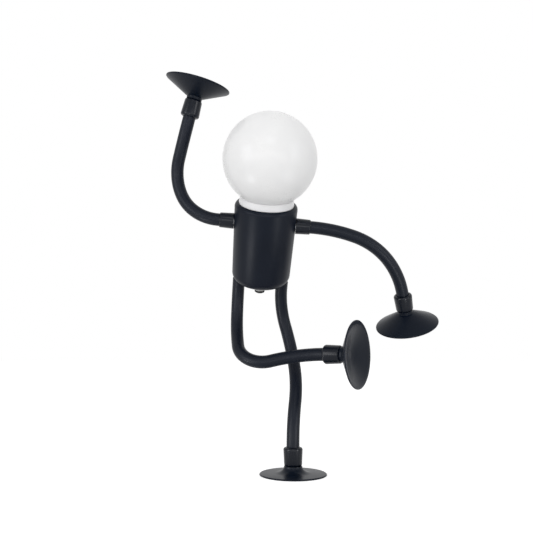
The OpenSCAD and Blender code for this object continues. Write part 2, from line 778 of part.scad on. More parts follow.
at_foot() sleeve(leg_l, leg_right_pose, 3);  // leg_right_sleeve_1
at_foot() sleeve(leg_l, leg_right_pose, 2);  // leg_right_sleeve_2
at_foot() sleeve(leg_l, leg_right_pose, 1);  // leg_right_sleeve_3
leg_right_end() end_sleeve(leg_l, leg_right_pose, 0);  // leg_right_sleeve_4
at_foot() core(leg_l, leg_right_pose, 3, false);  // leg_right_core_1
at_foot() core(leg_l, leg_right_pose, 2, false);  // leg_right_core_2
at_foot() core(leg_l, leg_right_pose, 1, false);  // leg_right_core_3
leg_right_end() end_core(leg_l, leg_right_pose, 0);  // leg_right_core_4
leg_right_end() end_collar();  // leg_right_end_collar
leg_right_end() pressed_cup();  // leg_right_suction_cup
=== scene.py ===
"""Looks of the posable figure desk lamp.

A cup-shaped torso holds a globe lamp as the head, and four gooseneck limbs end in suction
cups. Lengths are in metres and angles in degrees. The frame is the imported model's: +Z up and
the figure's front towards -Y, with the origin under the standing foot.
"""

import json
import logging
import math
from collections.abc import Callable, Iterable, Sequence
from dataclasses import dataclass
from enum import Enum

import bpy
from bpy.types import Material, Node, NodeSocket, NodeTree, Object
from mathutils import Matrix, Vector


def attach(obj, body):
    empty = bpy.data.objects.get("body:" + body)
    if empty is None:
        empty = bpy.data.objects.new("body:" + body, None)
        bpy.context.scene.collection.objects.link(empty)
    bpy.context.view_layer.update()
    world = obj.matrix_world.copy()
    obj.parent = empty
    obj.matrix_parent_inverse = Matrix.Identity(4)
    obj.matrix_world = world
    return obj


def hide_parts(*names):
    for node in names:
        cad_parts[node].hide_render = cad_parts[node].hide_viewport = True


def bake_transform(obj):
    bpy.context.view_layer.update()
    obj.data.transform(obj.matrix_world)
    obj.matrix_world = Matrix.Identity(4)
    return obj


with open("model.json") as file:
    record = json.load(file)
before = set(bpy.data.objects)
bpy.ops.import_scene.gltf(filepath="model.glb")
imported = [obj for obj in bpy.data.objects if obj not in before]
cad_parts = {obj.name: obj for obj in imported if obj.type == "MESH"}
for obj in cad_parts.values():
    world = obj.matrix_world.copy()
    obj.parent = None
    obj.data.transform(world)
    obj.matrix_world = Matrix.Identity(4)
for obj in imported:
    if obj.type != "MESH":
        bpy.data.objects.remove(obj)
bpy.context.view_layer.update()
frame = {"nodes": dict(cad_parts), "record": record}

LOG = logging.getLogger("figure_lamp")

MM = 0.001
UP = Vector((0.0, 0.0, 1.0))
REST_PLACE = "rest_place"

# Fineness of the meshes
RING_SEGMENTS = 56
RING_SPACING = 1.1 * MM
MIN_ARC_STEPS = 6
LEAD_STEPS = 2
SEAT_STEPS = 6
LATHE_STEPS = 112
SHELL_STEPS = 160
GLOBE_SEGMENTS = 144
GLOBE_RINGS = 96
DOME_STEPS = 12
FILLET_STEP = 10.0
MERGE_DISTANCE = 1e-6

# Angle between faces above which an edge stays sharp
SHARP_ANGLE = 32.0

# Roundings of moulded edges
FINE_EDGE = 0.2 * MM
EDGE = 0.3 * MM
SOFT_EDGE = 0.6 * MM

# Patterns on the finishes. Nearly all of a noise's values lie within its span.
BROAD_SIZE = 22 * MM
BROAD_DETAIL = 3.0
FINE_DETAIL = 4.0
NOISE_SPAN = (0.3, 0.7)
MEAN_WEIGHT = 0.5
BUMP_DEPTH = 0.2 * MM
GLOW_DEPTH = 2 * MM
GLOW_SPREAD = (1.0, 1.0, 1.0)

WHITE = (1.0, 1.0, 1.0, 1.0)

Outline = Sequence[tuple[float, float, float]]
Plugs = dict[str | int, float | Sequence[float] | NodeSocket]


# ---- material nodes ----


def plug(tree: NodeTree, node: Node, inputs: Plugs) -> None:
    """Sets a node's inputs, or links them.

    Args:
        tree: the tree that the node is in.
        node: the node.
        inputs: for each input, its value or the socket that it takes its value from.
    """
    for key, value in inputs.items():
        if isinstance(value, NodeSocket):
            tree.links.new(value, node.inputs[key])
        else:
            node.inputs[key].default_value = value


def add_node(tree: NodeTree, kind: str, inputs: Plugs) -> Node:
    """Adds a node with its inputs set or linked.

    Args:
        tree: the tree to add to.
        kind: the node's type.
        inputs: for each input, its value or the socket that it takes its value from.

    Returns:
        The node.
    """
    node = tree.nodes.new(kind)
    plug(tree, node, inputs)
    return node


def add_math(tree: NodeTree, operation: str, *inputs: float | NodeSocket) -> NodeSocket:
    """Adds one step of arithmetic.

    Args:
        tree: the tree to add to.
        operation: the node's name for the operation.
        inputs: its inputs in order, as values or sockets.

    Returns:
        The socket with the result.
    """
    node = add_node(tree, "ShaderNodeMath", dict(enumerate(inputs)))
    node.operation = operation
    return node.outputs[0]


def add_noise(tree: NodeTree, place: NodeSocket, size: float, detail: float) -> NodeSocket:
    """Adds noise.

    Args:
        tree: the tree to add to.
        place: the socket with the point that the noise is read at.
        size: size of its features.
        detail: how many finer layers it has.

    Returns:
        The socket with the noise, between 0 and 1.
    """
    inputs = {"Vector": place, "Scale": 1 / size, "Detail": detail}
    return add_node(tree, "ShaderNodeTexNoise", inputs).outputs["Fac"]


# ---- finishes ----


class Coordinates(Enum):
    """Where a finish reads its pattern from."""

    OBJECT = "object"
    REST = "rest"


class Grain(Enum):
    """The kind of fine pattern on a finish, as its scale along X, Y and Z."""

    SPECKLE = (1.0, 1.0, 1.0)
    BRUSHED = (0.05, 1.0, 1.0)
    TURNED = (1.0, 1.0, 0.05)


@dataclass(frozen=True)
class Finish:
    """One material, with its colour, sheen and fine surface.

    Attributes:
        name: the material's name.
        colour: the main colour, linear.
        shade: the second colour that the main one drifts towards.
        roughness: lowest and highest roughness over the surface.
        grain: the kind of fine pattern.
        grain_size: size of one grain.
        relief: strength of the grain in the surface.
        metallic: 1 for bare metal.
        specular: level of the clear reflection.
        glow: strength at which light spreads inside the material.
        coordinates: where the pattern is read from.
    """

    name: str
    colour: tuple[float, float, float]
    shade: tuple[float, float, float]
    roughness: tuple[float, float] = (0.4, 0.5)
    grain: Grain = Grain.SPECKLE
    grain_size: float = 0.5 * MM
    relief: float = 0.05
    metallic: float = 0.0
    specular: float = 0.5
    glow: float = 0.0
    coordinates: Coordinates = Coordinates.OBJECT

    def build(self) -> Material:
        """Makes the material's nodes.

        Returns:
            The finished material.
        """
        material = bpy.data.materials.new(self.name)
        material.use_nodes = True
        tree = material.node_tree
        place = self._place(tree)
        broad = add_noise(tree, place, BROAD_SIZE, BROAD_DETAIL)
        drawn = add_node(tree, "ShaderNodeMapping", {"Vector": place, "Scale": self.grain.value})
        fine = add_noise(tree, drawn.outputs["Vector"], self.grain_size, FINE_DETAIL)
        relief = {"Strength": self.relief, "Distance": BUMP_DEPTH, "Height": fine}
        bump = add_node(tree, "ShaderNodeBump", relief)
        look: Plugs = {
            "Base Color": self._colour(tree, broad),
            "Roughness": self._roughness(tree, broad, fine),
            "Normal": bump.outputs["Normal"],
            "Metallic": self.metallic,
            "Specular IOR Level": self.specular,
        }
        if self.glow > 0:
            look["Subsurface Weight"] = self.glow
            look["Subsurface Radius"] = GLOW_SPREAD
            look["Subsurface Scale"] = GLOW_DEPTH
        plug(tree, tree.nodes["Principled BSDF"], look)
        return material

    def _place(self, tree: NodeTree) -> NodeSocket:
        """Adds the point that the pattern is read at.

        Args:
            tree: the material's tree.

        Returns:
            The socket with the point.
        """
        if self.coordinates is Coordinates.REST:
            node = tree.nodes.new("ShaderNodeAttribute")
            node.attribute_name = REST_PLACE
            return node.outputs["Vector"]
        return tree.nodes.new("ShaderNodeTexCoord").outputs["Object"]

    def _colour(self, tree: NodeTree, broad: NodeSocket) -> NodeSocket:
        """Lets the colour drift between the finish's two colours.

        Args:
            tree: the material's tree.
            broad: the socket with the broad pattern.

        Returns:
            The socket with the colour.
        """
        ramp = add_node(tree, "ShaderNodeValToRGB", {"Fac": broad})
        ends = ramp.color_ramp.elements
        for end, position, colour in zip(ends, NOISE_SPAN, (self.colour, self.shade)):
            end.position = position
            end.color = (*colour, 1.0)
        return ramp.outputs["Color"]

    def _roughness(self, tree: NodeTree, broad: NodeSocket, fine: NodeSocket) -> NodeSocket:
        """Varies the roughness with the mean of the broad and the fine pattern.

        Args:
            tree: the material's tree.
            broad: the socket with the broad pattern.
            fine: the socket with the fine pattern.

        Returns:
            The socket with the roughness.
        """
        half = add_math(tree, "MULTIPLY", broad, MEAN_WEIGHT)
        mean = add_math(tree, "MULTIPLY_ADD", fine, MEAN_WEIGHT, half)
        inputs = {
            "Value": mean,
            "From Min": NOISE_SPAN[0],
            "From Max": NOISE_SPAN[1],
            "To Min": self.roughness[0],
            "To Max": self.roughness[1],
        }
        return add_node(tree, "ShaderNodeMapRange", inputs).outputs["Result"]


INK = (0.0032, 0.0056, 0.0120)
INK_SHADE = (0.0042, 0.0070, 0.0142)

FINISHES = {
    "torso_paint": Finish("satin_paint", INK, INK_SHADE, (0.36, 0.42), relief=0.03, specular=0.11),
    "collar_plastic": Finish(
        "collar_gloss", (0.0028, 0.0048, 0.0100), INK, (0.22, 0.28), grain_size=0.4 * MM,
        relief=0.03, specular=0.20,
    ),
    "sleeve_rubber": Finish(
        "sleeve_rubber", INK, (0.0050, 0.0078, 0.0155), (0.36, 0.44), grain_size=0.35 * MM,
        relief=0.10, specular=0.15, coordinates=Coordinates.REST,
    ),
    "cup_rubber": Finish(
        "cup_rubber", (0.0026, 0.0054, 0.0120), (0.0034, 0.0066, 0.0140), (0.30, 0.37),
        relief=0.04, specular=0.11,
    ),
    "grommet_rubber": Finish(
        "grommet_rubber", (0.008, 0.008, 0.009), (0.012, 0.012, 0.013), (0.5, 0.6),
        grain_size=0.3 * MM, relief=0.12, specular=0.3,
    ),
    "core_steel": Finish(
        "core_steel", (0.42, 0.43, 0.45), (0.34, 0.35, 0.37), (0.28, 0.42),
        grain=Grain.TURNED, grain_size=0.3 * MM, relief=0.2, metallic=1.0,
    ),
    "fixing_steel": Finish(
        "zinc_steel", (0.56, 0.57, 0.60), (0.46, 0.47, 0.50), (0.25, 0.38),
        grain_size=0.3 * MM, relief=0.1, metallic=1.0,
    ),
    "block_aluminium": Finish(
        "cast_aluminium", (0.55, 0.56, 0.58), (0.45, 0.46, 0.48), (0.42, 0.58),
        grain_size=0.4 * MM, relief=0.25, metallic=1.0,
    ),
    "socket_plastic": Finish(
        "socket_moulding", (0.72, 0.70, 0.64), (0.66, 0.64, 0.58), (0.45, 0.55),
        grain_size=0.6 * MM, relief=0.06,
    ),
    "socket_brass": Finish(
        "socket_brass", (0.70, 0.52, 0.22), (0.56, 0.40, 0.16), (0.24, 0.36),
        grain=Grain.BRUSHED, grain_size=0.3 * MM, relief=0.1, metallic=1.0,
    ),
    # Pale grey switch moulding: a painted highlight, standing in for the thin line of reflected
    # light between the torso's floor and the button.
    "switch_plastic": Finish(
        "switch_painted_highlight", (0.62, 0.62, 0.61), (0.56, 0.56, 0.55), (0.4, 0.5),
        grain_size=0.35 * MM, relief=0.1, specular=0.3,
    ),
    "button_plastic": Finish(
        "button_gloss", (0.004, 0.004, 0.005), (0.006, 0.006, 0.007), (0.16, 0.22),
        relief=0.02, specular=0.4,
    ),
    "globe_plastic": Finish(
        "opal_globe", (0.84, 0.84, 0.84), (0.81, 0.81, 0.815), (0.26, 0.32),
        grain_size=1.5 * MM, relief=0.008, specular=0.2, glow=0.15,
    ),
    "housing_plastic": Finish(
        "lamp_housing", (0.82, 0.82, 0.83), (0.78, 0.78, 0.79), (0.25, 0.33),
        relief=0.02, specular=0.45,
    ),
    "led_plate_aluminium": Finish(
        "white_lacquer", (0.80, 0.80, 0.78), (0.74, 0.74, 0.72), (0.35, 0.45),
        grain_size=0.4 * MM,
    ),
    "board_laminate": Finish(
        "board_laminate", (0.03, 0.14, 0.06), (0.02, 0.10, 0.045), (0.3, 0.45), relief=0.08,
    ),
    "cap_metal": Finish(
        "lamp_cap", (0.62, 0.62, 0.63), (0.52, 0.52, 0.54), (0.22, 0.34),
        grain=Grain.TURNED, grain_size=0.3 * MM, relief=0.1, metallic=1.0,
    ),
    "insulator_plastic": Finish(
        "insulator_glaze", (0.010, 0.010, 0.014), (0.016, 0.016, 0.022), (0.15, 0.22), relief=0.03,
    ),
}


class Wardrobe:
    """The finishes, made once each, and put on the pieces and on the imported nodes."""

    def __init__(self) -> None:
        """Starts with no material made."""
        self._made: dict[str, Material] = {}

    def material(self, slot: str) -> Material:
        """Finds the material of a slot, and makes it on its first use.

        Args:
            slot: the record's name for the finish.

        Returns:
            The material.
        """
        if slot not in self._made:
            self._made[slot] = FINISHES[slot].build()
        return self._made[slot]

    def dress(self, piece: Object, slot: str) -> None:
        """Gives a piece a slot's material.

        Args:
            piece: the piece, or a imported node.
            slot: the record's name for the finish.
        """
        piece.data.materials.clear()
        piece.data.materials.append(self.material(slot))

    def dress_nodes(self, record: dict) -> None:
        """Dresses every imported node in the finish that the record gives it."""
        for part in record["subparts"]:
            self.dress(frame["nodes"][part["node"]], part["material_slot"])


# ---- mesh tools ----


def turn(angle: float, axis: str) -> Matrix:
    """Returns a turn by an angle in degrees about X, Y or Z."""
    return Matrix.Rotation(math.radians(angle), 4, axis)


def shift(x: float = 0.0, y: float = 0.0, z: float = 0.0) -> Matrix:
    """Returns a move by x, y and z."""
    return Matrix.Translation((x, y, z))


def fillet(outline: Outline) -> list[tuple[float, float]]:
    """Rounds the corners of an outline.

    Args:
        outline: corners as (radius from the axis, height, rounding).

    Returns:
        Points of the rounded outline, as (radius, height).
    """
    made: list[tuple[float, float]] = []
    last = len(outline) - 1
    for i, (x, z, rounding) in enumerate(outline):
        here = Vector((x, z))
        if rounding <= 0 or i in (0, last):
            made.append((x, z))
            continue
        before = (Vector(outline[i - 1][:2]) - here).normalized()
        after = (Vector(outline[i + 1][:2]) - here).normalized()
        opening = before.angle(after)
        reach = rounding / math.tan(opening / 2)
        middle = here + (before + after).normalized() * (rounding / math.sin(opening / 2))
        start, end = here + before * reach - middle, here + after * reach - middle
        sweep = math.pi - opening
        if start.x * end.y - start.y * end.x < 0:
            sweep = -sweep
        steps = max(2, math.ceil(abs(sweep) / math.radians(FILLET_STEP)))
        for k in range(steps + 1):
            cos, sin = math.cos(sweep * k / steps), math.sin(sweep * k / steps)
            spun = Vector((start.x * cos - start.y * sin, start.x * sin + start.y * cos))
            made.append(tuple(middle + spun))
    return made


def start_piece(name: str, primitive: Callable[..., set[str]], **options: object) -> Object:
    """Adds a primitive as the active piece.

    Args:
        name: the piece's name.
        primitive: the operator that adds it.
        options: the operator's settings.

    Returns:
        The piece, with its transforms applied.
    """
    bpy.ops.object.select_all(action="DESELECT")
    primitive(**options)
    piece = bpy.context.object
    piece.name = piece.data.name = name
    bpy.ops.object.transform_apply(location=True, rotation=True, scale=True)
    return piece


def begin_edit() -> None:
    """Opens the active mesh with all of it selected."""
    bpy.ops.object.mode_set(mode="EDIT")
    bpy.ops.mesh.select_all(action="SELECT")


def finish_piece(piece: Object, place: Matrix) -> None:
    """Merges the points of a piece, seats it in the model's frame and smooths its shading.

    Args:
        piece: the active object.
        place: the local frame that it was modelled in.
    """
    begin_edit()
    bpy.ops.mesh.remove_doubles(threshold=MERGE_DISTANCE)
    bpy.ops.mesh.normals_make_consistent(inside=False)
    bpy.ops.object.mode_set(mode="OBJECT")
    piece.matrix_world = place
    bpy.ops.object.transform_apply(location=True, rotation=True, scale=True)
    bpy.ops.object.shade_smooth_by_angle(angle=math.radians(SHARP_ANGLE))


def lathe(name: str, outline: Outline, place: Matrix, steps: int = LATHE_STEPS) -> Object:
    """Turns a closed outline about the local Z axis.

    Args:
        name: the piece's name.
        outline: corners as (radius, height, rounding), the last one meeting the first or the
            axis.
        place: the local frame.
        steps: number of steps in the turn.

    Returns:
        The piece.
    """
    rounded = fillet(outline)
    piece = start_piece(name, bpy.ops.mesh.primitive_plane_add, size=MM)
    begin_edit()
    bpy.ops.mesh.merge(type="CENTER")
    bpy.ops.transform.translate(value=(rounded[0][0], 0.0, rounded[0][1]))
    for (x0, z0), (x1, z1) in zip(rounded, rounded[1:]):
        step = (x1 - x0, 0.0, z1 - z0)
        bpy.ops.mesh.extrude_region_move(TRANSFORM_OT_translate={"value": step})
    bpy.ops.mesh.select_all(action="SELECT")
    bpy.ops.mesh.spin(steps=steps, angle=math.tau, center=(0, 0, 0), axis=(0, 0, 1))
    finish_piece(piece, place)
    return piece


def add_piece(piece: Object, wardrobe: Wardrobe, slot: str, body: str, *nodes: str) -> None:
    """Dresses a finished piece, puts it on its body and lets it stand for its nodes.

    Args:
        piece: the finished piece.
        wardrobe: the made finishes.
        slot: the record's name for the finish.
        body: the body that it rides on.
        nodes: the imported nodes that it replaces.
    """
    wardrobe.dress(piece, slot)
    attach(piece, body)
    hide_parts(*nodes)


# ---- limbs ----


@dataclass(frozen=True)
class Link:
    """One link of a limb: its share of the limb's length, its bend and the bend's heading."""

    share: float
    bend: float
    roll: float


@dataclass
class Gooseneck:
    """The rubber sleeve of one limb, in stretches that each bend across one pivot.

    Attributes:
        name: the limb's name in the record.
        root: frame at the limb's first pivot, or at the collar of the standing foot.
        length: length along the limb.
        links: the links in order from the root.
        bodies: the body before the first link, then the body of each link.
        radius: outer radius of the sleeve.
        seat: length of sleeve inside an end collar.
        lead: length of sleeve before the first pivot.
        blend: a distance from a pivot; not used.
        collars: whether the first and the last link end in a collar, not at a pivot.
    """

    name: str
    root: Matrix
    length: float
    links: list[Link]
    bodies: list[str]
    radius: float = 5.5 * MM
    seat: float = 8 * MM
    lead: float = 1.2 * MM
    blend: float = 11 * MM
    collars: tuple[bool, bool] = (False, True)

    def _bend_radius(self, link: Link) -> float:
        """Returns the radius of a link's bend."""
        return self.length * link.share / math.radians(link.bend)

    def after(self, place: Matrix, link: Link, share: float = 1.0) -> Matrix:
        """Follows a link from its start.

        Args:
            place: frame at the link's start.
            link: the link.
            share: how much of the link to follow.

        Returns:
            The frame that is reached.
        """
        bend = link.bend * share
        radius = self._bend_radius(link)
        angle = math.radians(bend)
        return (
            place
            @ turn(link.roll, "Z")
            @ shift(radius * (1 - math.cos(angle)), 0.0, radius * math.sin(angle))
            @ turn(bend, "Y")
            @ turn(-link.roll, "Z")
        )

    def pivots(self) -> list[Matrix]:
        """Works out where the limb bends.

        Returns:
            The frames at the start of each link and at the limb's end.
        """
        made = [self.root]
        for link in self.links:
            made.append(self.after(made[-1], link))
        return made

    def _ring(self, place: Matrix, name: str) -> Object:
        """Starts a stretch of sleeve with a ring, and opens it for edits.

        Args:
            place: the ring's frame.
            name: the piece's name.

        Returns:
            The piece.
        """
        piece = start_piece(
            name,
            bpy.ops.mesh.primitive_circle_add,
            vertices=RING_SEGMENTS,
            radius=self.radius,
            location=place.translation,
            rotation=place.to_euler(),
        )
        begin_edit()
        return piece

    def _straight(self, place: Matrix, length: float, steps: int) -> None:
        """Draws the selected ring out along a frame's Z axis.

        Args:
            place: the frame.
            length: length of the straight.
            steps: number of steps in it.
        """
        step = place.to_3x3() @ UP * (length / steps)
        for _ in range(steps):
            bpy.ops.mesh.extrude_region_move(TRANSFORM_OT_translate={"value": step})

    def _arc(self, place: Matrix, link: Link, share: float) -> None:
        """Spins the selected ring along a link.

        Args:
            place: the ring's frame, somewhere on the link.
            link: the link.
            share: how much of the link to follow.
        """
        heading = turn(link.roll, "Z")
        centre = place @ heading @ Vector((self._bend_radius(link), 0.0, 0.0))
        axis = (place.to_3x3() @ heading.to_3x3() @ Vector((0.0, 1.0, 0.0))).normalized()
        length = self.length * link.share * share
        bpy.ops.mesh.spin(
            steps=max(MIN_ARC_STEPS, math.ceil(length / RING_SPACING)),
            angle=-math.radians(link.bend * share),
            center=centre,
            axis=axis,
        )

    def _close(self, piece: Object) -> None:
        """Caps both ends of a stretch and notes where each point lies at rest.

        Args:
            piece: the stretch, open for edits.
        """
        bpy.ops.mesh.select_all(action="SELECT")
        bpy.ops.mesh.remove_doubles(threshold=MERGE_DISTANCE)
        bpy.ops.mesh.select_all(action="DESELECT")
        bpy.ops.mesh.select_non_manifold()
        bpy.ops.mesh.edge_face_add()
        finish_piece(piece, Matrix.Identity(4))
        note = piece.data.attributes.new(REST_PLACE, "FLOAT_VECTOR", "POINT")
        for vertex, value in zip(piece.data.vertices, note.data):
            value.vector = vertex.co

    def build(self, wardrobe: Wardrobe, nodes: list[list[str]]) -> None:
        """Makes the limb's stretches of sleeve, one for each pivot.

        Args:
            wardrobe: the made finishes.
            nodes: for each stretch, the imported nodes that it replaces.
        """
        frames = self.pivots()
        first = 1 if self.collars[0] else 0
        stop = len(self.links) + (0 if self.collars[1] else 1)
        for count, i in enumerate(range(first, stop)):
            piece = self._stretch(i, frames, f"{self.name}_skin_{count + 1}")
            wardrobe.dress(piece, "sleeve_rubber")
            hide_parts(*nodes[count])
            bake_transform(piece)
            LOG.info("%s over %s and %s", piece.name, self.bodies[i], self.bodies[i + 1])

    def _stretch(self, i: int, frames: list[Matrix], name: str) -> Object:
        """Makes the stretch of sleeve across one pivot.

        Args:
            i: number of the pivot, from the root.
            frames: the frames at all the pivots.
            name: the piece's name.

        Returns:
            The closed piece.
        """
        if i == 0:
            piece = self._ring(frames[0] @ shift(z=-self.lead), name)
            self._straight(frames[0], self.lead, LEAD_STEPS)
        elif i == 1 and self.collars[0]:
            piece = self._ring(frames[0] @ shift(z=-self.seat), name)
            self._straight(frames[0], self.seat, SEAT_STEPS)
            self._arc(frames[0], self.links[0], 1.0)
        else:
            middle = self.after(frames[i - 1], self.links[i - 1], 0.5)
            piece = self._ring(middle, name)
            self._arc(middle, self.links[i - 1], 0.5)
        if i == len(self.links):
            self._straight(frames[i], self.lead, LEAD_STEPS)
        elif i == len(self.links) - 1 and self.collars[1]:
            self._arc(frames[i], self.links[i], 1.0)
            self._straight(frames[i + 1], self.seat, SEAT_STEPS)
        else:
            self._arc(frames[i], self.links[i], 0.5)
        self._close(piece)
        return piece


@dataclass
class LimbEnd:
    """The collar and the suction cup at the end of a limb.

    Attributes:
        name: the limb's name in the record.
        place: frame at the sleeve's end, +Z out along the collar.
        body: the body that both ride on.
        cup_height: height of the cup below its collar.
        pressed: whether the cup is pressed flat.
        collar_radius: radius at the sleeve's side, and collar_tip_radius at the cup's.
        neck_share: share of a free cup's height that its neck takes.
        flare: width and drop of the step from the neck to the cone.
        hub_radius: radius of the pressed cup's hub at its top, and hub_foot_radius at its foot.
        hub_rise: how far above the brim the hub's curve ends, and hub_step its step in degrees.
        brim: thickness of the cup's edge.
        lip: width of the ring that touches the surface.
        lip_foot: distance from the edge to the foot of the lip, and lip_rise its height.
        hollow: depth of a free cup's hollow as a share of its height.
        pressed_hollow: the same for the pressed cup.
        dimple: how far inside the neck's radius the hollow's deepest part starts.
        dimple_flare: how far outside it the hollow has dimple_share of its depth.
    """

    name: str
    place: Matrix
    body: str
    cup_height: float = 14.5 * MM
    pressed: bool = False
    collar_length: float = 15.5 * MM
    collar_radius: float = 8.25 * MM
    collar_tip_radius: float = 7.5 * MM
    collar_rounding: float = 2 * MM
    collar_tip_rounding: float = 1.94 * MM
    bore: float = 5.55 * MM
    neck_radius: float = 6.7 * MM
    neck_share: float = 0.16
    flare: tuple[float, float] = (1.5 * MM, 0.5 * MM)
    flare_rounding: float = 1.2 * MM
    hub_radius: float = 7.7 * MM
    hub_foot_radius: float = 16.5 * MM
    hub_rise: float = 0.3 * MM
    hub_step: int = 9
    cup_radius: float = 28.25 * MM
    brim: float = 1.2 * MM
    brim_rounding: float = 0.4 * MM
    lip: float = 1.5 * MM
    lip_foot: float = 3.3 * MM
    lip_rise: float = 0.42 * MM
    lip_rounding: float = 2 * MM
    hollow: float = 0.52
    pressed_hollow: float = 0.2
    hollow_rounding: float = 8 * MM
    dimple: float = 3 * MM
    dimple_flare: float = 1 * MM
    dimple_share: float = 0.86
    dimple_rounding: float = 3 * MM
    stem: float = 8 * MM
    stem_gap: float = 0.05 * MM

    def _collar(self) -> Object:
        """Turns the collar.

        Returns:
            The piece.
        """
        z, bore = self.collar_length, self.bore
        outline = [
            (bore, EDGE, 0.0), (bore + EDGE, 0.0, EDGE / 2),
            (self.collar_radius, 0.0, self.collar_rounding),
            (self.collar_tip_radius, z, self.collar_tip_rounding),
            (bore, z, 0.0), (bore, EDGE, 0.0),
        ]
        return lathe(f"{self.name}_collar", outline, self.place)

    def _cone(self) -> Outline:
        """Draws the upper side of a free cup: a short neck that opens into a cone.

        Returns:
            The outline from the neck to the brim.
        """
        h, r, n, t = self.cup_height, self.cup_radius, self.neck_radius, self.brim
        neck = self.neck_share * h
        width, drop = self.flare
        return [
            (n, 0.0, EDGE), (n, neck, drop), (n + width, neck + drop, self.flare_rounding),
            (r - 0.5 * t, h - 1.1 * t, EDGE), (r, h - 0.6 * t, FINE_EDGE),
        ]

    def _hub(self) -> Outline:
        """Draws the upper side of the pressed cup: a hub that runs out into the brim.

        Returns:
            The outline from the hub's top to the brim.
        """
        h, r, t = self.cup_height, self.cup_radius, self.brim
        width, fall = self.hub_foot_radius - self.hub_radius, h - t - self.hub_rise
        curve = [math.radians(a) for a in range(0, 91, self.hub_step)]
        hub = [
            (self.hub_radius + width * (1 - math.cos(a)), fall * math.sin(a), 0.0) for a in curve
        ]
        return [*hub, (r - 0.5 * t, h - t, self.brim_rounding), (r, h - 0.6 * t, FINE_EDGE)]

    def _cup(self) -> Object:
        """Turns the cup, with its stem, its upper side, its brim and its hollow sole.

        Returns:
            The piece.
        """
        h, r, n = self.cup_height, self.cup_radius, self.neck_radius
        depth = (self.pressed_hollow if self.pressed else self.hollow) * h
        stem = self.bore - self.stem_gap
        outline = [
            (0.0, -self.stem, 0.0), (stem, -self.stem, 0.0), (stem, 0.0, 0.0),
            *(self._hub() if self.pressed else self._cone()),
            (r, h, EDGE), (r - self.lip, h, SOFT_EDGE),
            (r - self.lip_foot, h - self.lip_rise, self.lip_rounding),
            (n + self.dimple_flare, h - self.dimple_share * depth, self.hollow_rounding),
            (n - self.dimple, h - depth, self.dimple_rounding), (0.0, h - depth, 0.0),
        ]
        return lathe(f"{self.name}_cup", outline, self.place @ shift(z=self.collar_length))

    def build(self, wardrobe: Wardrobe) -> None:
        """Makes and seats both pieces.

        Args:
            wardrobe: the made finishes.
        """
        add_piece(
            self._collar(), wardrobe, "collar_plastic", self.body, f"{self.name}_end_collar"
        )
        add_piece(self._cup(), wardrobe, "cup_rubber", self.body, f"{self.name}_suction_cup")
        LOG.info("collar and cup of %s on %s", self.name, self.body)


# ---- torso, switch and lamp ----


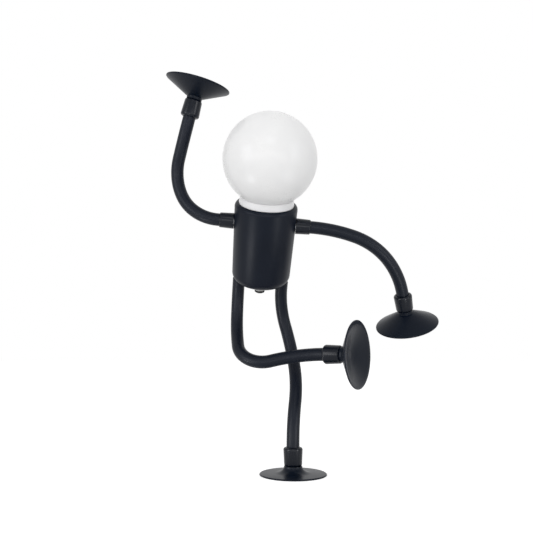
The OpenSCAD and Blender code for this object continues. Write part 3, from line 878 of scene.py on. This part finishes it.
@dataclass
class Torso:
    """The cup-shaped torso with its shoulder collars.

    Attributes:
        place: the torso's frame, its floor at z = 0.
        lip: height of the rolled rim's inner side.
        rim_sweep: degrees of the rim's arc, and rim_step between two points of it.
        shoulder_reach: how far the arm's pivot lies out from the shell.
        shell_gap: space between a collar and the shell.
        pivot_gap: space between a collar and the arm's pivot.
    """

    place: Matrix
    height: float = 74.5 * MM
    floor_radius: float = 25.75 * MM
    rim_radius: float = 27.25 * MM
    wall: float = 1.4 * MM
    floor_rounding: float = 9 * MM
    rim_rounding: float = 4.2 * MM
    rim_sweep: int = 63
    rim_step: int = 7
    lip: float = 2.6 * MM
    opening: float = 24.2 * MM
    switch_hole: float = 6.08 * MM
    shoulder_height: float = 55.5 * MM
    shoulder_reach: float = 14 * MM
    collar_radius: float = 6.9 * MM
    collar_tip_radius: float = 6.45 * MM
    collar_rounding: float = 0.9 * MM
    collar_bore: float = 3.95 * MM
    shell_gap: float = 0.12 * MM
    pivot_gap: float = 1.32 * MM

    def slant(self) -> float:
        """Returns how much wider the shell gets for each unit of height."""
        return (self.rim_radius - self.floor_radius) / self.height

    def shoulder(self, side: int) -> Matrix:
        """Finds the place of a shoulder.

        Args:
            side: 1 for the side towards +X, -1 for the other.

        Returns:
            The frame of the shoulder's pivot, +Z out along the arm.
        """
        radius = self.floor_radius + self.slant() * self.shoulder_height
        reach = side * (radius + self.shoulder_reach)
        return self.place @ shift(reach, 0.0, self.shoulder_height) @ turn(90 * side, "Y")

    def _shell(self) -> Object:
        """Turns the shell, from the switch's hole round the outside to the inside.

        Returns:
            The piece.
        """
        w, h, e = self.wall, self.height, self.rim_rounding
        slant = self.slant()
        centre = self.rim_radius - slant * e - e * math.sqrt(1 + slant * slant)
        drop = e - math.sqrt(e * e - (self.opening - centre) ** 2)
        rim = [
            (centre + e * math.cos(math.radians(a)), h - e + e * math.sin(math.radians(a)), 0.0)
            for a in range(0, self.rim_sweep + 1, self.rim_step)
        ]
        bevel = (e - w) * math.sqrt(0.5)
        outline = [
            (self.switch_hole, 0.0, 0.0), (self.floor_radius, 0.0, self.floor_rounding), *rim,
            (self.opening, h - drop, EDGE), (self.opening, h - self.lip, EDGE),
            (centre + bevel, h - self.lip, EDGE), (centre + e - w, h - e, SOFT_EDGE),
            (self.floor_radius - w, w, self.floor_rounding - w), (self.switch_hole, w, 0.0),
            (self.switch_hole, 0.0, 0.0),
        ]
        return lathe("torso_cup", outline, self.place, SHELL_STEPS)

    def _collar(self, side: int, name: str) -> Object:
        """Turns one shoulder collar, rounded at its outer end.

        Args:
            side: 1 for the side towards +X, -1 for the other.
            name: the piece's name.

        Returns:
            The piece.
        """
        inner = -self.shoulder_reach + self.shell_gap
        end = -self.pivot_gap
        outline = [
            (self.collar_bore, inner, 0.0), (self.collar_radius, inner, FINE_EDGE),
            (self.collar_tip_radius, end, self.collar_rounding), (self.collar_bore, end, 0.0),
            (self.collar_bore, inner, 0.0),
        ]
        return lathe(name, outline, self.shoulder(side))

    def build(self, wardrobe: Wardrobe) -> None:
        """Makes and seats the torso's pieces.

        Args:
            wardrobe: the made finishes.
        """
        add_piece(self._shell(), wardrobe, "torso_paint", "torso", "torso_shell")
        for side, name in ((-1, "arm_left"), (1, "arm_right")):
            piece = self._collar(side, f"{name}_root_collar")
            add_piece(piece, wardrobe, "collar_plastic", "torso", f"{name}_shoulder_collar")
        LOG.info("torso shell and shoulder collars")


@dataclass
class PushSwitch:
    """The domed push-button below the torso.

    Attributes:
        place: the torso's frame.
        reach: how far it reaches below the torso's floor.
        dome: radius of curvature of its end.
    """

    place: Matrix
    radius: float = 4.6 * MM
    reach: float = 11.8 * MM
    dome: float = 7 * MM
    flange_radius: float = 5.6 * MM
    flange_base: float = 2.65 * MM
    flange_height: float = 1.6 * MM

    def build(self, wardrobe: Wardrobe) -> None:
        """Makes and seats the button.

        Args:
            wardrobe: the made finishes.
        """
        r, base, dome = self.radius, self.flange_base, self.dome
        edge = math.asin(r / dome)
        cap = [edge * k / DOME_STEPS for k in range(DOME_STEPS + 1)]
        outline = [
            *((dome * math.sin(a), dome * (1 - math.cos(a)) - self.reach, 0.0) for a in cap),
            (r, base, 0.0), (self.flange_radius, base, FINE_EDGE),
            (self.flange_radius, base + self.flange_height, EDGE),
            (0.0, base + self.flange_height, 0.0),
        ]
        piece = lathe("switch_dome", outline, self.place)
        add_piece(piece, wardrobe, "button_plastic", "button", "switch_button")
        LOG.info("switch button")


@dataclass
class GlobeLamp:
    """The globe and the neck of the lamp.

    Attributes:
        place: the torso's frame.
        neck_height: height of the globe's lower edge above the torso's floor.
        ring_drop: how far below that edge the neck is widest.
        neck_step: width and depth of the step below the globe's edge.
        recess: depth of the ledge inside the neck, and ledge its width.
        foot: thickness of the housing's floor.
    """

    place: Matrix
    globe_radius: float = 39.5 * MM
    globe_wall: float = 1.2 * MM
    neck_height: float = 80.3 * MM
    neck_radius: float = 22.9 * MM
    ring_radius: float = 23.9 * MM
    ring_drop: float = 6 * MM
    ring_rounding: float = 0.8 * MM
    neck_step: float = 0.3 * MM
    housing_length: float = 33 * MM
    housing_wall: float = 1.5 * MM
    foot_radius: float = 14.6 * MM
    spigot_radius: float = 12.75 * MM
    spigot_length: float = 7 * MM
    spigot_wall: float = 1.35 * MM
    recess: float = 3 * MM
    ledge: float = 0.8 * MM
    foot: float = 2 * MM

    def _globe(self) -> Object:
        """Shapes the globe from a sphere: cut at the neck, with a wall of even thickness.

        Returns:
            The piece.
        """
        centre = self.neck_height + math.sqrt(self.globe_radius**2 - self.neck_radius**2)
        piece = start_piece(
            "lamp_globe",
            bpy.ops.mesh.primitive_uv_sphere_add,
            segments=GLOBE_SEGMENTS,
            ring_count=GLOBE_RINGS,
            radius=self.globe_radius,
            location=(0, 0, centre),
        )
        begin_edit()
        bpy.ops.mesh.bisect(
            plane_co=(0, 0, self.neck_height), plane_no=(0, 0, 1), clear_inner=True
        )
        bpy.ops.object.mode_set(mode="OBJECT")
        wall = piece.modifiers.new("wall", "SOLIDIFY")
        wall.thickness = self.globe_wall
        wall.offset = -1
        wall.use_rim = True
        bpy.ops.object.modifier_apply(modifier=wall.name)
        finish_piece(piece, self.place)
        return piece

    def _housing(self) -> Object:
        """Turns the housing: a cone, the ring in the torso's mouth and the neck above it.

        Returns:
            The piece.
        """
        top, low = self.neck_height, self.neck_height - self.housing_length
        end, floor = low - self.spigot_length, low + self.foot
        r, w, s, step = self.neck_radius, self.housing_wall, self.spigot_radius, self.neck_step
        bore = s - self.spigot_wall
        outline = [
            (bore, end, 0.0), (s, end, EDGE), (s, low, 0.0), (self.foot_radius, low, SOFT_EDGE),
            (self.ring_radius, top - self.ring_drop, self.ring_rounding),
            (r + step / 3, top - 2 * step, FINE_EDGE), (r - step, top - step, FINE_EDGE / 2),
            (r - step, top, 0.0), (r - w, top, 0.0), (r - w, top - self.recess, 0.0),
            (r - w - self.ledge, top - self.recess, 0.0),
            (self.foot_radius - w, floor, 0.0), (bore, floor, 0.0), (bore, end, 0.0),
        ]
        return lathe("lamp_neck", outline, self.place)

    def build(self, wardrobe: Wardrobe) -> None:
        """Makes and seats the lamp's outer pieces.

        Args:
            wardrobe: the made finishes.
        """
        add_piece(self._globe(), wardrobe, "globe_plastic", "bulb", "bulb_globe")
        add_piece(self._housing(), wardrobe, "housing_plastic", "bulb", "bulb_housing")
        LOG.info("globe and neck")


# ---- the figure ----


@dataclass
class Figure:
    """The whole lamp, put together from its pose.

    Attributes:
        hip_reach: how far each hip lies to the side of the torso's middle.
        hip_drop: how far below the torso's floor the hips' pivots lie.
        hip_overlap: length of a leg's sleeve inside the torso's floor.
        torso_turn: turn of the torso about the standing leg's end.
        pressed_cup: height of the standing cup.
    """

    hip_reach: float = 19.5 * MM
    hip_drop: float = 4.8 * MM
    hip_overlap: float = 1 * MM
    torso_turn: float = -14.0
    arm_length: float = 113 * MM
    leg_length: float = 148.5 * MM
    pressed_cup: float = 7 * MM

    def hip_lead(self) -> float:
        """Returns the length of a leg's sleeve between its pivot and its end in the torso."""
        return self.hip_drop + self.hip_overlap

    def standing_leg(self) -> Gooseneck:
        """Poses the standing leg, from the foot's collar to the hip.

        Returns:
            The leg's sleeve.
        """
        links = [
            Link(0.25, 27, 74.5), Link(0.25, 15, 152.5),
            Link(0.25, 36.5, -109.5), Link(0.25, 34.5, -65.5),
        ]
        bodies = ["", "foot", "leg_right_3", "leg_right_2", "leg_right_1", "torso"]
        root = shift(z=self.pressed_cup + LimbEnd.collar_length)
        return Gooseneck(
            "leg_right", root, self.leg_length, links, bodies,
            lead=self.hip_lead(), collars=(True, False),
        )

    def build(self, wardrobe: Wardrobe) -> None:
        """Builds every piece in order.

        Args:
            wardrobe: the made finishes.
        """
        leg = self.standing_leg()
        hip = leg.pivots()[-1] @ shift(z=self.hip_drop) @ turn(self.torso_turn, "Z")
        torso = Torso(hip @ shift(x=-self.hip_reach))
        torso.build(wardrobe)
        PushSwitch(torso.place).build(wardrobe)
        GlobeLamp(torso.place).build(wardrobe)
        nodes = [[f"leg_right_sleeve_{i}"] for i in (4, 3, 2, 1)]
        nodes[-1].append("leg_right_hip_ferrule")
        leg.build(wardrobe, nodes)
        foot = leg.root @ turn(180, "X")
        LimbEnd("leg_right", foot, "foot", self.pressed_cup, pressed=True).build(wardrobe)
        self._free_limb(
            wardrobe, "arm_left", torso.shoulder(-1), self.arm_length,
            [Link(1 / 3, 56, 48), Link(1 / 3, 60.5, -1.5), Link(1 / 3, 17, 130.5)],
        )
        self._free_limb(
            wardrobe, "arm_right", torso.shoulder(1), self.arm_length,
            [Link(1 / 3, 14.5, -10), Link(1 / 3, 32.5, 5), Link(1 / 3, 27.5, -12)],
        )
        hip_left = torso.place @ shift(-self.hip_reach, 0.0, -self.hip_drop) @ turn(180, "X")
        self._free_limb(
            wardrobe, "leg_left", hip_left, self.leg_length,
            [
                Link(0.195, 45.5, 85), Link(0.22, 31, 74.5),
                Link(0.265, 96.5, 3.5), Link(0.32, 37.5, 156),
            ],
            self.hip_lead(), ["leg_left_hip_ferrule"],
        )

    def _free_limb(
        self,
        wardrobe: Wardrobe,
        name: str,
        root: Matrix,
        length: float,
        links: list[Link],
        lead: float = Gooseneck.lead,
        root_nodes: Sequence[str] = (),
    ) -> None:
        """Builds a limb that starts at the torso, with its collar and cup.

        Args:
            wardrobe: the made finishes.
            name: the limb's name in the record.
            root: frame at its first pivot.
            length: length along the limb.
            links: the links in order from the torso.
            lead: length of sleeve before the first pivot.
            root_nodes: what the first stretch replaces besides its sleeve.
        """
        count = len(links)
        bodies = ["torso", *(f"{name}_{i + 1}" for i in range(count))]
        limb = Gooseneck(name, root, length, links, bodies, lead=lead)
        nodes = [[f"{name}_sleeve_{i + 1}"] for i in range(count)]
        nodes[0] += root_nodes
        limb.build(wardrobe, nodes)
        LimbEnd(name, limb.pivots()[-1], bodies[-1]).build(wardrobe)


# ---- studio ----


@dataclass(frozen=True)
class Softbox:
    """A soft light: where it stands seen from the figure, its size and its power.

    Attributes:
        name: the lamp's name.
        azimuth: degrees to the right of the camera's side.
        elevation: degrees above the horizon.
        distance: distance from the figure.
        size: width and height.
        power: power in watts.
        fills: whether it lights matt surfaces.
        shines: whether glossy surfaces mirror it.
    """

    name: str
    azimuth: float
    elevation: float
    distance: float
    size: tuple[float, float]
    power: float
    fills: bool = False
    shines: bool = True


@dataclass
class Studio:
    """The pale floor, the soft lights and the camera.

    Attributes:
        eye: the camera's place, and pitch its angle above the horizon.
        sensor: width of the camera's sensor in millimetres.
        focal_pixels: focal length in pixels of an image that is image_pixels wide.
        target: the point that the softboxes face.
        ambient: light of the surroundings on the figure.
        floor_gap: space between the floor and the standing foot.
        floor_glow: light of the floor itself, which lifts it to white where seen.
        boxes: the softboxes.
    """

    eye: tuple[float, float, float] = (-22.3 * MM, -547.9 * MM, 102.9 * MM)
    pitch: float = 7.57
    sensor: float = 36.0
    focal_pixels: float = 632.8
    image_pixels: float = 533.0
    clip: tuple[float, float] = (0.01, 100.0)
    target: tuple[float, float, float] = (0.0, 0.0, 0.18)
    ambient: float = 0.80
    floor_radius: float = 6.0
    floor_segments: int = 96
    floor_gap: float = 0.05 * MM
    floor_colour: tuple[float, float, float, float] = (0.9, 0.9, 0.9, 1.0)
    floor_glow: float = 0.42
    boxes: tuple[Softbox, ...] = (
        Softbox("fill", -12.0, 4.0, 1.5, (1.6, 1.2), 9.2, fills=True, shines=False),
        Softbox("left_card", -54.0, 3.0, 1.3, (0.46, 0.9), 6.2),
        Softbox("right_card", 57.0, 2.0, 1.4, (0.40, 1.0), 6.0),
        Softbox("front_card", 0.0, 31.0, 1.4, (0.40, 0.30), 1.7),
        Softbox("low_strip", -5.0, -4.0, 1.3, (2.4, 0.15), 6.4),
        Softbox("low_left_card", -64.0, -35.0, 0.286, (0.06, 0.10), 0.28),
        Softbox("low_right_card", 48.0, -33.0, 0.28, (0.04, 0.09), 0.17),
    )

    def _camera(self) -> None:
        """Makes the camera at the viewing angle."""
        data = bpy.data.cameras.new("camera")
        data.sensor_width = self.sensor
        data.lens = self.focal_pixels * self.sensor / self.image_pixels
        data.dof.use_dof = False
        data.clip_start, data.clip_end = self.clip
        camera = bpy.data.objects.new("camera", data)
        camera.location = self.eye
        camera.rotation_euler = (math.radians(90 + self.pitch), 0.0, 0.0)
        bpy.context.scene.collection.objects.link(camera)
        bpy.context.scene.camera = camera

    def _lights(self) -> None:
        """Makes the softboxes, each turned towards the figure."""
        target = Vector(self.target)
        for box in self.boxes:
            azimuth, elevation = math.radians(box.azimuth), math.radians(box.elevation)
            flat, rise = math.cos(elevation), math.sin(elevation)
            away = Vector((math.sin(azimuth) * flat, -math.cos(azimuth) * flat, rise))
            data = bpy.data.lights.new(box.name, "AREA")
            data.shape = "RECTANGLE"
            data.size, data.size_y = box.size
            data.energy = box.power
            light = bpy.data.objects.new(box.name, data)
            light.visible_camera = False
            light.visible_diffuse = box.fills
            light.visible_glossy = box.shines
            light.location = target + away * box.distance
            light.rotation_euler = away.to_track_quat("Z", "Y").to_euler()
            bpy.context.scene.collection.objects.link(light)

    def _seen(self, tree: NodeTree) -> NodeSocket:
        """Tells the rays that see a surface from those that light one.

        Args:
            tree: the tree to add to.

        Returns:
            The socket with 1 for camera, glossy and transmission rays, and 0 for the others.
        """
        rays = tree.nodes.new("ShaderNodeLightPath").outputs
        direct = add_math(tree, "MAXIMUM", rays["Is Camera Ray"], rays["Is Glossy Ray"])
        return add_math(tree, "MAXIMUM", direct, rays["Is Transmission Ray"])

    def _world(self) -> None:
        """Makes the pale surroundings: white where seen, and plain where they light."""
        world = bpy.data.worlds.new("surroundings")
        world.use_nodes = True
        tree = world.node_tree
        plain = tree.nodes["Background"]
        plug(tree, plain, {"Color": WHITE, "Strength": self.ambient})
        white = add_node(tree, "ShaderNodeBackground", {"Color": WHITE, "Strength": 1.0})
        inputs = {"Fac": self._seen(tree), 1: plain.outputs[0], 2: white.outputs[0]}
        mix = add_node(tree, "ShaderNodeMixShader", inputs)
        plug(tree, tree.nodes["World Output"], {"Surface": mix.outputs[0]})
        bpy.context.scene.world = world

    def _floor(self) -> None:
        """Makes the pale floor, which keeps the figure's shadow."""
        floor = start_piece(
            "floor",
            bpy.ops.mesh.primitive_circle_add,
            vertices=self.floor_segments,
            radius=self.floor_radius,
            fill_type="NGON",
            location=(0, 0, -self.floor_gap),
        )
        material = bpy.data.materials.new("pale_floor")
        material.use_nodes = True
        tree = material.node_tree
        tree.nodes.remove(tree.nodes["Principled BSDF"])
        matt = add_node(tree, "ShaderNodeBsdfDiffuse", {"Color": self.floor_colour})
        strength = add_math(tree, "MULTIPLY", self._seen(tree), self.floor_glow)
        lift = add_node(tree, "ShaderNodeEmission", {"Color": WHITE, "Strength": strength})
        both = add_node(tree, "ShaderNodeAddShader", {0: matt.outputs[0], 1: lift.outputs[0]})
        plug(tree, tree.nodes["Material Output"], {"Surface": both.outputs[0]})
        floor.data.materials.append(material)

    def build(self) -> None:
        """Makes the whole studio."""
        bpy.context.scene.view_settings.view_transform = "Standard"
        self._camera()
        self._lights()
        self._world()
        self._floor()
        LOG.info("studio")


def main() -> None:
    """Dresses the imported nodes, builds the figure and sets up the studio."""
    logging.basicConfig(level=logging.INFO, format="%(name)s: %(message)s")
    wardrobe = Wardrobe()
    wardrobe.dress_nodes(frame["record"])
    Studio().build()
    Figure().build(wardrobe)


if __name__ == "__main__":
    main()
